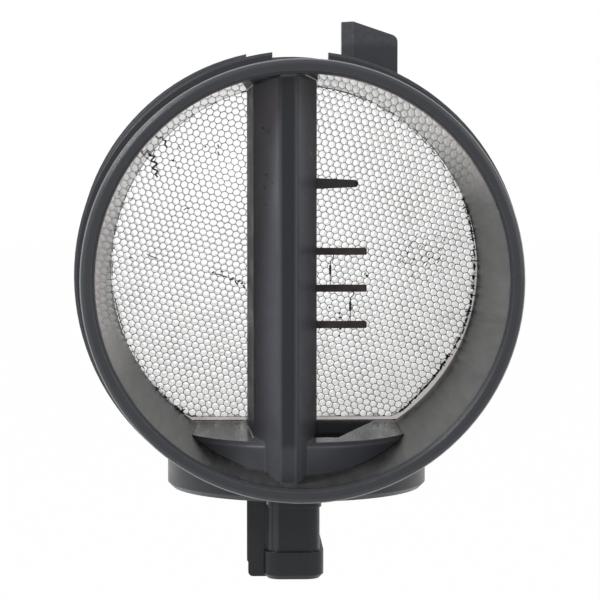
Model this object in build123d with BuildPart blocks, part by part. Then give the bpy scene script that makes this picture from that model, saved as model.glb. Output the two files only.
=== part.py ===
from build123d import *
import os
from math import cos, radians, sin

# Mass airflow sensor, in millimetres.  The flow axis is Y: the outlet lip lies in the plane
# Y = 0 and the air comes in at the far end.  +Z is up, and the electrical connector points down.

# ---------------------------------------------------------------- flow tube
bore_radius = 40.0
tube_wall = 2.3
tube_length = 94.0
hose_land_rise = 0.6         # raised land under the outlet hose
hose_land_length = 15.6
lip_outer_round = 0.9        # made as two bevels
lip_inner_round = 0.6

collar_rise = 3.2            # stop collar for the outlet hose
collar_front = 23.0
collar_thickness = 3.0
notch_width = 11.3           # keyway in the stop collar
notch_x = 0.2

inlet_length = 7.5           # stub that plugs into the air-filter housing
inlet_rise = 4.1
inlet_flare = 2.8            # the mouth is this much wider than the seat of the straightener
flange_rise = 6.6
flange_thickness = 3.0
flange_gap = 20.6            # break in the flange, in line with the keyway
flange_edge = 0.5            # bevel on the flange's and the collar's rims

seal_width = 3.0
seal_depth = 1.5
seal_inset = 2.2             # from the rear end of the stub
seal_proud = 1.1

lug_left = 8.81              # latch lug beside the keyway
lug_right = 20.1
lug_front = 28.0
lug_depth = 5.0
lug_root = 2.0               # how far the lug reaches into the tube's wall
lug_rise = 9.35
lug_shoulder_drop = 3.05
lug_ramp = 2.25
lug_round = 1.5

# ---------------------------------------------------------------- flow straightener
straightener_front = 60.0
straightener_depth = 10.0
straightener_fit = 0.2
seat_step = 0.8
cell_pitch = 7.6
cell_margin = 2              # cells past the edge of the passage
cell_wall = 0.6
straightener_rim = 1.0
ring_thickness = 2.6
ring_width = 1.3

# ---------------------------------------------------------------- electronics box under the bore
platform_rise = 6.7          # box top above the lowest line of the bore
platform_thickness = 2.2
platform_edge = 0.8          # bevel on the hump's upper edge
platform_bevel_angle = 45.0
hump_front = 18.2            # the part of the box that stands in the bore
hump_inset = 2.9             # narrower than the box by this on each side
box_drop = 2.9               # box underside below the lowest line of the tube
box_width = 54.6
box_front = 17.5
box_rear = 72.0
box_wall = 3.0
box_corner = 5.0
box_edge = 1.0
cover_rebate = 1.3
cover_thickness = 2.2
cover_fit = 0.15
cover_seal_thickness = 0.5

# ---------------------------------------------------------------- strut across the bore
strut_x = -2.65              # centre of the nose, beside the bore's axis
strut_skew = 0.25            # the rear stands this much further to the side than the nose
strut_nose_y = 7.0
strut_nose_width = 3.9
strut_shoulder_y = 31.0
strut_shoulder_width = 12.9
strut_rear_y = 55.0
strut_rear_width = 15.25
strut_wall = 1.8
strut_nose_round = 0.9
strut_rear_round = 2.5
channel_front = 25.0
channel_roof = 3.5           # plastic left between the channel and the top of the bore
side_opening_front = 31.5
side_opening_rear_wall = 2.4

# ---------------------------------------------------------------- sensor carrier
carrier_fit = 0.15
carrier_inner_offset = 4.2   # inner face of the carrier, measured from the strut's centre plane
pocket_front = 28.0
pocket_rear = 58.5
pocket_front_x = 8.15
pocket_rear_x = 17.35
pocket_depth = 3.4
foot_margin = 2.0
foot_thickness = 1.4
foot_seal_thickness = 0.4

post_y = 50.0
post_size = 1.5
post_tip_x = 15.2
post_heights = (4.1, -3.8, -11.6)
lead_thickness = 0.5
lead_width = 1.2
lead_pitch = 3.0
post_fit = 0.05
post_tip_chamfer = 0.2

probe_height = 18.6
probe_tip_x = 13.4
probe_root_size = 2.3
probe_tip_size = 1.5
probe_tip_edge = 0.5
probe_lead_spread = 1.5

hot_element_x = 7.4
cold_element_x = 11.7
element_length = 2.1
element_diameter = 0.5
element_round = 0.12
element_wire = 0.2
element_sides = 6
wire_jog = 0.7

# ---------------------------------------------------------------- circuit board
board_thickness = 1.6
board_fit = 0.6
board_gap = 0.2              # between the carrier's foot and the board
pin_fit = 0.1
screw_boss_diameter = 4.4
screw_diameter = 2.0
screw_head_diameter = 3.8
screw_head_height = 1.2
screw_length = 4.2
board_screw_angle = 24.6     # front bosses, on the box's half-round end
boss_gap = 0.2
chip_inset = 6.9             # from the board's edge to the chips' centres
capacitor_inset = 0.3        # from the board's edge to the capacitors
chip_standoff = 0.2
chip_edge = 0.3
chip_lead_reach = 1.0
chip_lead_width = 0.5
# two gull-winged chips: place along Y, body size, leads a side
chips = {
    "signal_processor": (44.0, (7.0, 8.6, 1.7), 8),
    "voltage_regulator": (55.2, (5.0, 5.0, 1.5), 4),
}
transistor_centre = (8.6, 64.8)
transistor_body = (6.0, 6.4, 2.3)
transistor_tab = (9.6, 5.4, 0.5)
transistor_edge = 0.3
resistor_centre = (-4.0, 64.8)
resistor_size = (8.0, 4.0, 0.6)
capacitor_count = 3
capacitor_first_y = 44.0
capacitor_pitch = 4.2
capacitor_size = (2.4, 3.2, 1.8)
capacitor_edge = 0.3

# ---------------------------------------------------------------- connector
connector_x = -0.9
connector_y = 45.0
connector_width = 11.0
connector_length = 24.0
connector_drop = 18.4
connector_wall = 1.3
connector_corner = 3.0
connector_depth = 14.0
base_step = 0.35
base_step_height = 3.4
rim_step = 0.8
rim_height = 5.8
rim_edge = 0.9
guard_x = -10.6
guard_y = 38.0
guard_thickness = 3.0
guard_drop = 15.3
guard_round = 0.5
guard_panel_drop = 18.2      # raised panel on the guard's front
guard_panel_inset = 0.25
guard_panel_top = 0.9
guard_panel_rise = 0.6
guard_panel_round = 1.0
key_height = 0.7
key_width = 1.4
key_offset = 6.0
terminal_count = 5
terminal_pitch = 3.6
terminal_width = 1.5
terminal_thickness = 0.8
terminal_reach = 9.0

# ---------------------------------------------------------------- heights and radii that follow
tube_radius = bore_radius + tube_wall
hose_radius = tube_radius + hose_land_rise
seat_radius = bore_radius + seat_step
inlet_radius = tube_radius + inlet_rise
flange_front = tube_length - inlet_length - flange_thickness
flare_front = straightener_front + straightener_depth + straightener_fit + ring_thickness
flare_rise = inlet_flare * (flange_front - flare_front) / (tube_length - flare_front)
platform_z = -(bore_radius - platform_rise)
ceiling_z = platform_z - platform_thickness
box_bottom_z = -(tube_radius + box_drop)
cover_top_z = box_bottom_z + cover_thickness
ledge_z = cover_top_z + cover_seal_thickness
foot_top_z = platform_z - pocket_depth
foot_bottom_z = foot_top_z - foot_thickness
board_top_z = foot_bottom_z - board_gap
board_bottom_z = board_top_z - board_thickness
channel_top_z = bore_radius - channel_roof
box_arc_y = box_front + box_width / 2
carrier_inner_x = strut_x + carrier_inner_offset
flank_x = strut_x + strut_rear_width / 2 - strut_skew
past = 1.0                   # how far a cutting tool runs past the face it opens
near = 0.01                  # tolerance for picking an edge by its place
bevel_share = 0.3            # a round made as two bevels turns at this share of its radius

os.makedirs("parts", exist_ok=True)


def finish(part, name):
    """Label one piece and write its STEP file."""
    part.label = name
    export_step(part, f"parts/{name}.step")


# ---------------------------------------------------------------- shared outlines
# Plan of the electronics box: a half-round front and a straight, round-cornered rear.
with BuildSketch() as box_plan:
    with BuildLine():
        front_left = (-box_width / 2, box_arc_y)
        front_right = (box_width / 2, box_arc_y)
        ThreePointArc(front_left, (0, box_front), front_right)
        Polyline(front_right, (box_width / 2, box_rear), (-box_width / 2, box_rear), front_left)
    make_face()
    fillet(box_plan.vertices().group_by(Axis.Y)[-1], box_corner)

hump_width = box_width - 2 * hump_inset

# Plan of the hump that the box makes in the bore, with the same straight, round-cornered rear.
with BuildSketch() as hump_plan:
    with BuildLine():
        hump_arc_y = hump_front + hump_width / 2
        hump_left = (-hump_width / 2, hump_arc_y)
        hump_right = (hump_width / 2, hump_arc_y)
        ThreePointArc(hump_left, (0, hump_front), hump_right)
        Polyline(hump_right, (hump_width / 2, box_rear), (-hump_width / 2, box_rear), hump_left)
    make_face()
    fillet(hump_plan.vertices().group_by(Axis.Y)[-1], box_corner)

# Section of the strut: a wedge that opens from a narrow nose to a blunt, rounded rear.
shoulder_shift = strut_skew * (strut_shoulder_y - strut_nose_y) / (strut_rear_y - strut_nose_y)
with BuildSketch() as strut_plan:
    with BuildLine():
        Polyline(
            (-strut_nose_width / 2, strut_nose_y),
            (strut_nose_width / 2, strut_nose_y),
            (strut_shoulder_width / 2 - shoulder_shift, strut_shoulder_y),
            (strut_rear_width / 2 - strut_skew, strut_rear_y),
            (-strut_rear_width / 2 - strut_skew, strut_rear_y),
            (-strut_shoulder_width / 2 - shoulder_shift, strut_shoulder_y),
            close=True,
        )
    make_face()
    fillet(strut_plan.vertices().group_by(Axis.Y)[0], strut_nose_round)
    fillet(strut_plan.vertices().group_by(Axis.Y)[-1], strut_rear_round)

# Window in the strut's right flank, which the sensor carrier closes.
window_rear = strut_rear_y - side_opening_rear_wall
with BuildSketch() as window_plan:
    with Locations((strut_rear_width / 2, (side_opening_front + window_rear) / 2)):
        Rectangle(strut_rear_width, window_rear - side_opening_front)

# Hollow of the strut, with the window.
with BuildSketch() as channel_plan:
    add(strut_plan.sketch)
    offset(amount=-strut_wall)
    with Locations((0, (channel_front + window_rear) / 2)):
        Rectangle(strut_rear_width, window_rear - channel_front, mode=Mode.INTERSECT)
    with BuildSketch(mode=Mode.PRIVATE) as window_slot:
        add(strut_plan.sketch)
        add(window_plan.sketch, mode=Mode.INTERSECT)
    add(window_slot.sketch)

# Relief beside the strut, wide enough at its rear for the posts to pass on the way in.
with BuildSketch() as pocket_plan:
    with BuildLine():
        Polyline(
            (strut_x, pocket_front),
            (pocket_front_x, pocket_front),
            (pocket_rear_x, pocket_rear),
            (strut_x, pocket_rear),
            close=True,
        )
    make_face()

with BuildSketch(Plane.XY) as module_plan:
    add(pocket_plan.sketch)
    with Locations((strut_x, 0)):
        add(channel_plan.sketch)

with BuildSketch() as foot_plan:
    add(module_plan.sketch)
    offset(amount=foot_margin, kind=Kind.INTERSECTION)

board_half_width = box_width / 2 - box_wall - board_fit
boss_reach = box_width / 2 - box_wall - boss_gap - screw_boss_diameter / 2
boss_turn = radians(board_screw_angle)
board_screw_points = [
    (side * boss_reach * cos(boss_turn), y)
    for side in (-1, 1)
    for y in (box_arc_y - boss_reach * sin(boss_turn), box_rear - box_wall - screw_boss_diameter)
]
terminal_points = [
    (connector_x, connector_y + (index - (terminal_count - 1) / 2) * terminal_pitch)
    for index in range(terminal_count)
]
# The probe's two leads come down foremost, and each post's lead behind the one above it.
lead_heights = (
    probe_height + probe_lead_spread / 2,
    probe_height - probe_lead_spread / 2,
    *post_heights,
)
lead_names = ("probe_lead_1", "probe_lead_2", "upper_post", "middle_post", "lower_post")
lead_ys = [post_y - lead_pitch * (len(lead_names) - index) for index in range(len(lead_names))]

# ---------------------------------------------------------------- flow tube
# The open air space: the bore, less the box top and the strut that cross it.
with BuildPart() as air_space:
    with BuildSketch(Plane.XY):
        with BuildLine():
            Polyline(
                (0, -past),
                (bore_radius + lip_inner_round + past, -past),
                (bore_radius, lip_inner_round),
                (bore_radius, straightener_front),
                (seat_radius, straightener_front),
                (seat_radius, flare_front),
                (seat_radius + inlet_flare, tube_length),
                (seat_radius + inlet_flare, tube_length + past),
                (0, tube_length + past),
                close=True,
            )
        make_face()
    revolve(axis=Axis.Y)
    with BuildSketch(Plane.XY.offset(platform_z - platform_edge)):
        add(hump_plan.sketch)
    extrude(amount=box_bottom_z - platform_z, mode=Mode.SUBTRACT)
    with BuildSketch(Plane.XY.offset(platform_z - platform_edge)):
        add(hump_plan.sketch)
    extrude(amount=platform_edge, taper=platform_bevel_angle, mode=Mode.SUBTRACT)
    with BuildSketch(Plane.XY.offset(-tube_radius)):
        with Locations((strut_x, 0)):
            add(strut_plan.sketch)
    extrude(amount=2 * tube_radius, mode=Mode.SUBTRACT)

# The electronics box as a solid block, with its lower edge bevelled.
with BuildPart() as box_block:
    with BuildSketch(Plane.XY.offset(box_bottom_z)):
        add(box_plan.sketch)
    extrude(amount=platform_z - box_bottom_z)
    chamfer(box_block.edges().group_by(Axis.Z)[0], box_edge)

with BuildPart() as flow_tube:
    with BuildSketch(Plane.XY):
        with BuildLine():
            Polyline(
                (0, 0),
                (hose_radius - lip_outer_round, 0),
                (hose_radius - bevel_share * lip_outer_round, bevel_share * lip_outer_round),
                (hose_radius, lip_outer_round),
                (hose_radius, hose_land_length),
                (tube_radius, hose_land_length + hose_land_rise),
                (tube_radius, collar_front),
                (tube_radius + collar_rise - flange_edge, collar_front),
                (tube_radius + collar_rise, collar_front + flange_edge),
                (tube_radius + collar_rise, collar_front + collar_thickness),
                (tube_radius, collar_front + collar_thickness),
                (tube_radius, flare_front),
                (tube_radius + flare_rise, flange_front),
                (tube_radius + flange_rise - flange_edge, flange_front),
                (tube_radius + flange_rise, flange_front + flange_edge),
                (tube_radius + flange_rise, flange_front + flange_thickness - flange_edge),
                (tube_radius + flange_rise - flange_edge, flange_front + flange_thickness),
                (inlet_radius, flange_front + flange_thickness),
                (inlet_radius, tube_length),
                (0, tube_length),
                close=True,
            )
        make_face()
    revolve(axis=Axis.Y)
    # keyway in the collar and break in the flange
    with BuildSketch(Plane.XY.offset(tube_radius)):
        with Locations((notch_x, collar_front + collar_thickness / 2)):
            Rectangle(notch_width, collar_thickness + past)
        with Locations((0, flange_front + flange_thickness / 2)):
            Rectangle(flange_gap, flange_thickness)
    extrude(amount=flange_rise + past, mode=Mode.SUBTRACT)
    # latch lug
    with BuildSketch(Plane.XZ.offset(-lug_front)) as lug_face:
        with BuildLine():
            lug_top = tube_radius + lug_rise
            Polyline(
                (lug_left, bore_radius - lug_root),
                (lug_left, lug_top),
                (lug_left + lug_ramp, lug_top),
                (lug_right, lug_top - lug_shoulder_drop),
                (lug_right, bore_radius - lug_root),
                close=True,
            )
        make_face()
        fillet(lug_face.vertices().group_by(Axis.X)[-1].sort_by(Axis.Y)[-1], lug_round)
    extrude(amount=-lug_depth)
    chamfer(
        flow_tube.edges().filter_by(Axis.Z).filter_by(
            lambda edge: abs(edge.center().X - lug_left) < near and abs(edge.center().Y - lug_front) < near
        ),
        lug_ramp,
    )
    # electronics box, with the collar trimmed flush with its underside
    with BuildSketch(Plane.XY.offset(box_bottom_z + box_edge)):
        add(box_plan.sketch)
    extrude(amount=-(box_edge + collar_rise), mode=Mode.SUBTRACT)
    add(box_block.part)
    add(air_space.part, mode=Mode.SUBTRACT)
    # space for the electronics, with a rebate for the cover
    with BuildSketch(Plane.XY.offset(ceiling_z)) as cavity_plan:
        add(box_plan.sketch)
        offset(amount=-box_wall)
    extrude(amount=box_bottom_z - ceiling_z, mode=Mode.SUBTRACT)
    with BuildSketch(Plane.XY.offset(ledge_z)):
        add(box_plan.sketch)
        offset(amount=-(box_wall - cover_rebate))
    extrude(amount=box_bottom_z - ledge_z, mode=Mode.SUBTRACT)
    # seat of the sensor carrier's foot, and bosses for the board's screws
    with BuildSketch(Plane.XY.offset(ceiling_z)):
        add(foot_plan.sketch)
    extrude(amount=foot_top_z + foot_seal_thickness - ceiling_z)
    with BuildSketch(Plane.XY.offset(ceiling_z)):
        with Locations(*board_screw_points):
            Circle(screw_boss_diameter / 2)
    extrude(amount=board_top_z - ceiling_z)
    with BuildSketch(Plane.XY.offset(board_top_z)):
        with Locations(*board_screw_points):
            Circle(screw_diameter / 2)
    extrude(amount=screw_length - board_thickness, mode=Mode.SUBTRACT)
    # opening for the module, and the strut's hollow above it
    with BuildSketch(Plane.XY.offset(ceiling_z - pocket_depth)):
        add(module_plan.sketch)
    extrude(amount=platform_z - ceiling_z + pocket_depth, mode=Mode.SUBTRACT)
    with BuildSketch(Plane.XY.offset(platform_z)):
        with Locations((strut_x, 0)):
            add(channel_plan.sketch)
    extrude(amount=channel_top_z - platform_z, mode=Mode.SUBTRACT)
    # groove for the inlet seal
    with BuildSketch(Plane.XY):
        with Locations((inlet_radius - seal_depth, tube_length - seal_inset - seal_width)):
            Rectangle(seal_depth + past, seal_width, align=(Align.MIN, Align.MIN))
    revolve(axis=Axis.Y, mode=Mode.SUBTRACT)
finish(flow_tube.part, "flow_tube")

# ---------------------------------------------------------------- flow straightener
straightener_radius = seat_radius - straightener_fit
straightener_floor_z = platform_z + straightener_fit
straightener_rear = straightener_front + straightener_depth

# Section of the passage behind the strut: the bore's circle, cut off flat by the box top.
with BuildSketch() as passage_plan:
    Circle(straightener_radius)
    with Locations((0, straightener_floor_z)):
        Rectangle(
            2 * straightener_radius,
            2 * straightener_radius,
            align=(Align.CENTER, Align.MIN),
            mode=Mode.INTERSECT,
        )

with BuildPart() as flow_straightener:
    with BuildSketch(Plane.XZ.offset(-straightener_front)):
        add(passage_plan.sketch)
        with BuildSketch(mode=Mode.PRIVATE) as cell_field:
            add(passage_plan.sketch)
            offset(amount=-straightener_rim)
        cells_across = int(2 * straightener_radius / cell_pitch + cell_margin)
        with BuildSketch(mode=Mode.PRIVATE) as cells:
            with HexLocations(cell_pitch / 2, cells_across, cells_across, major_radius=False):
                RegularPolygon((cell_pitch - cell_wall) / 2, 6, major_radius=False)
            add(cell_field.sketch, mode=Mode.INTERSECT)
        whole_cells = [cell for cell in cells.sketch.faces() if cell.area > cell_wall * cell_pitch]
        add(whole_cells, mode=Mode.SUBTRACT)
    extrude(amount=-straightener_depth)
finish(flow_straightener.part, "flow_straightener")

# Split ring that snaps into the bore behind the straightener; its ends stand on the box.
with BuildPart() as straightener_ring:
    with BuildSketch(Plane.XZ.offset(-(straightener_rear + straightener_fit))):
        add(passage_plan.sketch)
        Circle(straightener_radius - ring_width, mode=Mode.SUBTRACT)
    extrude(amount=-ring_thickness)
finish(straightener_ring.part, "straightener_ring")

# Rubber ring in the groove of the inlet stub.
with BuildPart() as inlet_seal:
    with BuildSketch(Plane.XY) as seal_section:
        with Locations((inlet_radius - seal_depth, tube_length - seal_inset - seal_width)):
            Rectangle(seal_depth + seal_proud, seal_width, align=(Align.MIN, Align.MIN))
        chamfer(seal_section.vertices().group_by(Axis.X)[-1], seal_proud)
    revolve(axis=Axis.Y)
finish(inlet_seal.part, "inlet_seal")

# ---------------------------------------------------------------- sensor carrier
# Upright that closes the strut's window, on a foot that closes the opening in the box top.
with BuildPart() as sensor_carrier:
    with BuildSketch(Plane.XY.offset(foot_bottom_z)):
        add(foot_plan.sketch)
    extrude(amount=foot_thickness)
    with BuildSketch(Plane.XY.offset(foot_top_z)):
        with Locations((strut_x, 0)):
            add(strut_plan.sketch)
        with Locations((carrier_inner_x, side_opening_front + carrier_fit)):
            Rectangle(
                strut_rear_width,
                window_rear - side_opening_front - 2 * carrier_fit,
                align=(Align.MIN, Align.MIN),
                mode=Mode.INTERSECT,
            )
    extrude(amount=channel_top_z - carrier_fit - foot_top_z)
    # seats of the posts and of the probe
    with BuildSketch(Plane.YZ.offset(carrier_inner_x)):
        with Locations(*[(post_y, height) for height in post_heights]):
            Rectangle(post_size + 2 * post_fit, post_size + 2 * post_fit)
        with Locations((post_y, probe_height)):
            Rectangle(probe_root_size + 2 * post_fit, probe_root_size + 2 * post_fit)
    extrude(amount=strut_rear_width, mode=Mode.SUBTRACT)
    # grooves for the lead strips, open on the inner face and through the foot
    with BuildSketch(Plane.YZ.offset(carrier_inner_x)):
        for lead_y, height in zip(lead_ys, lead_heights):
            groove_width = lead_width + 2 * post_fit
            with Locations((lead_y, height + groove_width / 2)):
                Rectangle(
                    groove_width,
                    height + groove_width / 2 - foot_bottom_z,
                    align=(Align.CENTER, Align.MAX),
                )
            with Locations((lead_y, height)):
                Rectangle(post_y - lead_y, groove_width, align=(Align.MIN, Align.CENTER))
    extrude(amount=lead_thickness + post_fit, mode=Mode.SUBTRACT)
finish(sensor_carrier.part, "sensor_carrier")

# Gasket between the carrier's foot and its seat in the box.
with BuildPart() as foot_seal:
    with BuildSketch(Plane.XY.offset(foot_top_z)):
        add(foot_plan.sketch)
        add(module_plan.sketch, mode=Mode.SUBTRACT)
    extrude(amount=foot_seal_thickness)
finish(foot_seal.part, "foot_seal")

# Lead strips: down the carrier's inner face to the board.  Three of them carry a post.
lead_end_z = board_bottom_z - lead_thickness
for lead_name, lead_y, height in zip(lead_names, lead_ys, lead_heights):
    with BuildPart() as lead:
        with BuildSketch(Plane.YZ.offset(carrier_inner_x)):
            with Locations((lead_y, height + lead_width / 2)):
                Rectangle(
                    lead_width,
                    height + lead_width / 2 - lead_end_z,
                    align=(Align.CENTER, Align.MAX),
                )
            with Locations((lead_y, height)):
                Rectangle(post_y - lead_y, lead_width, align=(Align.MIN, Align.CENTER))
        extrude(amount=lead_thickness)
        if height in post_heights:
            with BuildSketch(Plane.YZ.offset(carrier_inner_x)):
                with Locations((post_y, height)):
                    Rectangle(post_size, post_size)
            extrude(amount=post_tip_x - carrier_inner_x)
            chamfer(lead.edges().group_by(Axis.X)[-1], post_tip_chamfer)
    finish(lead.part, lead_name)

# Air temperature probe: a square root in the carrier and a tapered, round-ended body.
probe_root_x = carrier_inner_x + lead_thickness + post_fit
with BuildPart() as air_temperature_probe:
    with BuildSketch(Plane.YZ.offset(probe_root_x)):
        with Locations((post_y, probe_height)):
            Rectangle(probe_root_size, probe_root_size)
    extrude(amount=flank_x - probe_root_x)
    with BuildSketch(Plane.YZ.offset(flank_x)):
        with Locations((post_y, probe_height)):
            Rectangle(probe_root_size, probe_root_size)
    with BuildSketch(Plane.YZ.offset(probe_tip_x)):
        with Locations((post_y, probe_height)):
            Rectangle(probe_tip_size, probe_tip_size)
    loft()
    chamfer(air_temperature_probe.edges().group_by(Axis.X)[-1], probe_tip_edge)
finish(air_temperature_probe.part, "air_temperature_probe")

# Sensing elements: a glass-coated bobbin on a fine wire, welded between two posts.
for element_name, element_x, high, low in (
    ("hot_element", hot_element_x, post_heights[0], post_heights[1]),
    ("cold_element", cold_element_x, post_heights[1], post_heights[2]),
):
    with BuildPart() as element:
        wire_bottom_z = low + post_size / 2
        wire_top_z = high - post_size / 2
        with BuildLine():
            FilletPolyline(
                (element_x, post_y, wire_bottom_z),
                (element_x, post_y, wire_top_z - 2 * wire_jog),
                (element_x + wire_jog, post_y, wire_top_z - wire_jog),
                (element_x + wire_jog, post_y, wire_top_z),
                radius=element_wire,
            )
        with BuildSketch(Plane.XY.offset(wire_bottom_z)):
            with Locations((element_x, post_y)):
                RegularPolygon(element_wire / 2, element_sides)
        sweep()
        with BuildSketch(Plane.XZ.offset(-post_y)) as bead_section:
            with Locations((element_x, (high + low) / 2)):
                Rectangle(element_diameter / 2, element_length, align=(Align.MIN, Align.CENTER))
            chamfer(bead_section.vertices().group_by(Axis.X)[-1], element_round)
        revolve(axis=Axis((element_x, post_y, 0), (0, 0, 1)))
    finish(element.part, element_name)

# ---------------------------------------------------------------- electronics
with BuildPart() as circuit_board:
    with BuildSketch(Plane.XY.offset(board_bottom_z)):
        add(box_plan.sketch)
        offset(amount=-(box_wall + board_fit))
        with Locations(*board_screw_points):
            Circle(screw_diameter / 2 + pin_fit, mode=Mode.SUBTRACT)
        with Locations(*[(carrier_inner_x + lead_thickness / 2, lead_y) for lead_y in lead_ys]):
            Rectangle(lead_thickness + 2 * pin_fit, lead_width + 2 * pin_fit, mode=Mode.SUBTRACT)
        with Locations(*terminal_points):
            Rectangle(terminal_thickness + 2 * pin_fit, terminal_width + 2 * pin_fit, mode=Mode.SUBTRACT)
    extrude(amount=board_thickness)
finish(circuit_board.part, "circuit_board")

# Four identical screws that clamp the board to its bosses.
with BuildPart() as board_screws:
    with BuildSketch(Plane.XY.offset(board_bottom_z)):
        with Locations(*board_screw_points):
            Circle(screw_head_diameter / 2)
    extrude(amount=-screw_head_height)
    with BuildSketch(Plane.XY.offset(board_bottom_z)):
        with Locations(*board_screw_points):
            Circle(screw_diameter / 2 - post_fit)
    extrude(amount=screw_length - pin_fit)
finish(board_screws.part, "board_screws")

for chip_name, (chip_y, body, leads_a_side) in chips.items():
    centre = (chip_inset - board_half_width, chip_y)
    with BuildPart() as chip:
        with BuildSketch(Plane.XY.offset(board_top_z + chip_standoff)):
            with Locations(centre):
                Rectangle(body[0], body[1])
        extrude(amount=body[2])
        chamfer(chip.edges().group_by(Axis.Z)[-1], chip_edge)
        with BuildSketch(Plane.XY.offset(board_top_z)):
            with Locations(centre):
                with GridLocations(body[0] + chip_lead_reach, body[1] / leads_a_side, 2, leads_a_side):
                    Rectangle(chip_lead_reach, chip_lead_width)
        extrude(amount=chip_standoff + body[2] / 3)
    finish(chip.part, chip_name)

with BuildPart() as power_transistor:
    with BuildSketch(Plane.XY.offset(board_top_z)):
        with Locations(transistor_centre):
            Rectangle(transistor_tab[0], transistor_tab[1])
    extrude(amount=transistor_tab[2])
    with BuildSketch(Plane.XY.offset(board_top_z)):
        with Locations(transistor_centre):
            Rectangle(transistor_body[0], transistor_body[1])
    extrude(amount=transistor_body[2])
    chamfer(power_transistor.edges().group_by(Axis.Z)[-1], transistor_edge)
finish(power_transistor.part, "power_transistor")

with BuildPart() as trim_resistor:
    with BuildSketch(Plane.XY.offset(board_top_z)):
        with Locations(resistor_centre):
            Rectangle(resistor_size[0], resistor_size[1])
    extrude(amount=resistor_size[2])
finish(trim_resistor.part, "trim_resistor")

capacitor_x = board_half_width - capacitor_inset - capacitor_size[0] / 2
for index in range(capacitor_count):
    with BuildPart() as filter_capacitor:
        with BuildSketch(Plane.XY.offset(board_top_z)):
            with Locations((capacitor_x, capacitor_first_y + index * capacitor_pitch)):
                Rectangle(capacitor_size[0], capacitor_size[1])
        extrude(amount=capacitor_size[2])
        chamfer(filter_capacitor.edges().filter_by(Axis.Z), capacitor_edge)
    finish(filter_capacitor.part, f"filter_capacitor_{index + 1}")

# ---------------------------------------------------------------- cover and connector
connector_bottom_z = box_bottom_z - connector_drop
socket_floor_z = connector_bottom_z + connector_depth

with BuildPart() as electronics_cover:
    with BuildSketch(Plane.XY.offset(box_bottom_z)):
        add(box_plan.sketch)
        offset(amount=-(box_wall - cover_rebate + cover_fit))
    extrude(amount=cover_thickness)
    # shell, with a step at its root and a thicker rim round its mouth
    with BuildSketch(Plane.XY.offset(box_bottom_z)):
        with Locations((connector_x, connector_y)):
            RectangleRounded(
                connector_width + 2 * base_step, connector_length + 2 * base_step, connector_corner
            )
    extrude(amount=-base_step_height)
    with BuildSketch(Plane.XY.offset(box_bottom_z)):
        with Locations((connector_x, connector_y)):
            RectangleRounded(connector_width, connector_length, connector_corner)
    extrude(amount=-connector_drop)
    with BuildSketch(Plane.XY.offset(connector_bottom_z)):
        with Locations((connector_x, connector_y)):
            RectangleRounded(
                connector_width + 2 * rim_step, connector_length + 2 * rim_step, connector_corner + rim_step
            )
    extrude(amount=rim_height)
    chamfer(electronics_cover.edges().group_by(Axis.Z)[0], rim_edge)
    # guard plate beside the shell
    with BuildSketch(Plane.XZ.offset(-(guard_y - guard_thickness / 2))) as guard_face:
        with Locations((guard_x, box_bottom_z)):
            Rectangle(
                connector_x - connector_width / 2 + connector_wall / 2 - guard_x,
                guard_drop,
                align=(Align.MIN, Align.MAX),
            )
        fillet(guard_face.vertices().group_by(Axis.Y)[0].sort_by(Axis.X)[0], guard_round)
    extrude(amount=-guard_thickness)
    with BuildSketch(Plane.XZ.offset(-(guard_y - guard_thickness / 2 - guard_panel_rise))) as guard_panel:
        with Locations((guard_x + guard_panel_inset, box_bottom_z - guard_panel_top)):
            Rectangle(
                connector_x - connector_width / 2 + connector_wall / 2 - guard_x - guard_panel_inset,
                guard_panel_drop - guard_panel_top,
                align=(Align.MIN, Align.MAX),
            )
        fillet(guard_panel.vertices().group_by(Axis.X)[0], guard_panel_round)
    extrude(amount=-(guard_thickness / 2 + guard_panel_rise))
    # socket
    with BuildSketch(Plane.XY.offset(connector_bottom_z)):
        with Locations((connector_x, connector_y)):
            RectangleRounded(
                connector_width - 2 * connector_wall,
                connector_length - 2 * connector_wall,
                connector_corner - connector_wall,
            )
    extrude(amount=connector_depth, mode=Mode.SUBTRACT)
    # keying ribs on the socket's long walls
    with BuildSketch(Plane.XY.offset(socket_floor_z)):
        with Locations(
            (connector_x - connector_width / 2 + connector_wall, connector_y - key_offset),
            (connector_x - connector_width / 2 + connector_wall, connector_y + key_offset),
            (connector_x + connector_width / 2 - connector_wall, connector_y),
        ):
            Rectangle(2 * key_height, key_width)
    extrude(amount=-(connector_depth - rim_height))
    # slots for the terminals
    with BuildSketch(Plane.XY.offset(socket_floor_z)):
        with Locations(*terminal_points):
            Rectangle(terminal_thickness + 2 * post_fit, terminal_width + 2 * post_fit)
    extrude(amount=cover_top_z - socket_floor_z, mode=Mode.SUBTRACT)
finish(electronics_cover.part, "electronics_cover")

with BuildPart() as cover_seal:
    with BuildSketch(Plane.XY.offset(cover_top_z)):
        add(box_plan.sketch)
        offset(amount=-(box_wall - cover_rebate + cover_fit))
        with BuildSketch(mode=Mode.PRIVATE) as seal_inside:
            add(box_plan.sketch)
            offset(amount=-box_wall)
        add(seal_inside.sketch, mode=Mode.SUBTRACT)
    extrude(amount=cover_seal_thickness)
finish(cover_seal.part, "cover_seal")

for index, point in enumerate(terminal_points):
    with BuildPart() as terminal:
        with BuildSketch(Plane.XY.offset(socket_floor_z - terminal_reach)):
            with Locations(point):
                Rectangle(terminal_thickness, terminal_width)
        extrude(amount=board_top_z - pin_fit - socket_floor_z + terminal_reach)
        chamfer(terminal.edges().group_by(Axis.Z)[0], terminal_thickness / 4)
    finish(terminal.part, f"terminal_{index + 1}")
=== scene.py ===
import bpy
import math
import random
from types import SimpleNamespace
from mathutils import Matrix, Vector, geometry, noise
from mathutils.bvhtree import BVHTree


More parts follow.
